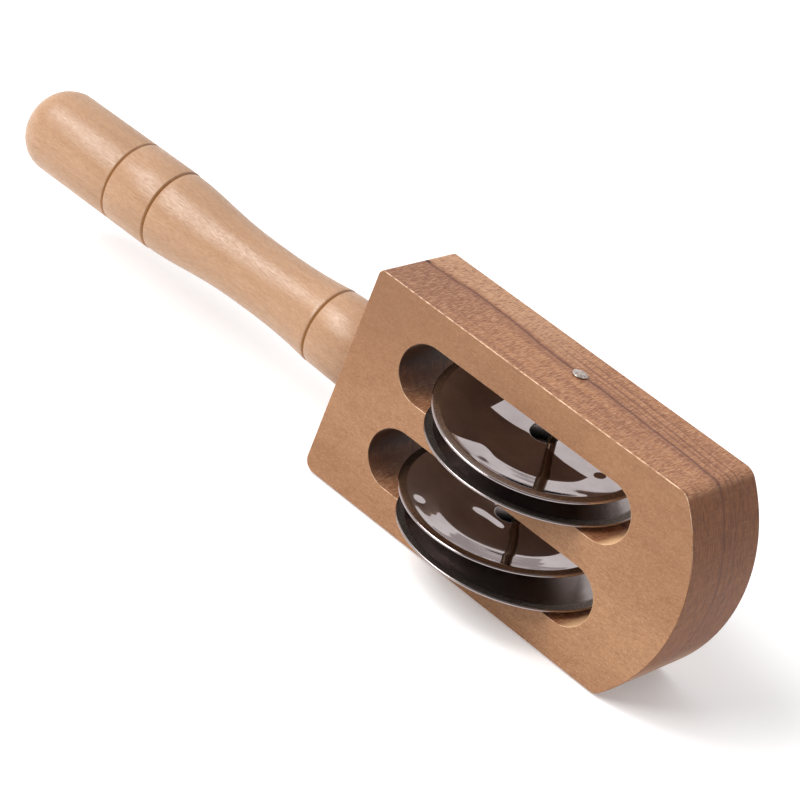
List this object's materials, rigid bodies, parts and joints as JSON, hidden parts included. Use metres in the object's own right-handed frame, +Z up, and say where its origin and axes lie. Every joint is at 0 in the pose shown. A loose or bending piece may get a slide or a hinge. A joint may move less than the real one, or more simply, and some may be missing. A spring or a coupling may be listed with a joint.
{
  "type": "wooden jingle stick",
  "caption": "Hand-held wooden jingle stick: a turned handle glued into a slotted block, with pairs of loose dished steel jingles threaded on a nail across the slots.",
  "frame": {"origin": "on the block's lower narrow side, which it rests on, level with the nail along the length and halfway through the thickness", "axes": "+X along the stick from the handle to the bowed tip, +Y through the thickness from the front big face to the back one, +Z up the nail towards its head"},
  "size_m": [0.2194, 0.0543, 0.0557],
  "materials": {
    "block_wood": "fine-sanded fruitwood with a thin satin wax",
    "handle_wood": "pale turned beech with a satin lacquer",
    "nail_steel": "dull drawn steel",
    "jingle_steel": "bright nickel-plated pressed sheet"
  },
  "bodies": {
    "stick": {"block": "block_wood", "handle": "handle_wood", "nail": "nail_steel"},
    "upper_pair_bottom": {"upper_slot_bottom_jingle": "jingle_steel"},
    "upper_pair_top": {"upper_slot_top_jingle": "jingle_steel"},
    "lower_pair_bottom": {"lower_slot_bottom_jingle": "jingle_steel"},
    "lower_pair_top": {"lower_slot_top_jingle": "jingle_steel"}
  },
  "joints": [
    {"name": "upper_pair_bottom_slide", "type": "slide", "parent": "stick", "child": "upper_pair_bottom", "axis": [0, 0, 1], "range_m": [0, 0.0012]},
    {"name": "upper_pair_top_slide", "type": "slide", "parent": "upper_pair_bottom", "child": "upper_pair_top", "axis": [0, 0, 1], "range_m": [0, 0.0011]},
    {"name": "lower_pair_bottom_slide", "type": "slide", "parent": "stick", "child": "lower_pair_bottom", "axis": [0, 0, 1], "range_m": [0, 0.0012]},
    {"name": "lower_pair_top_slide", "type": "slide", "parent": "lower_pair_bottom", "child": "lower_pair_top", "axis": [0, 0, 1], "range_m": [-0.0005, 0.0013]}
  ]
}
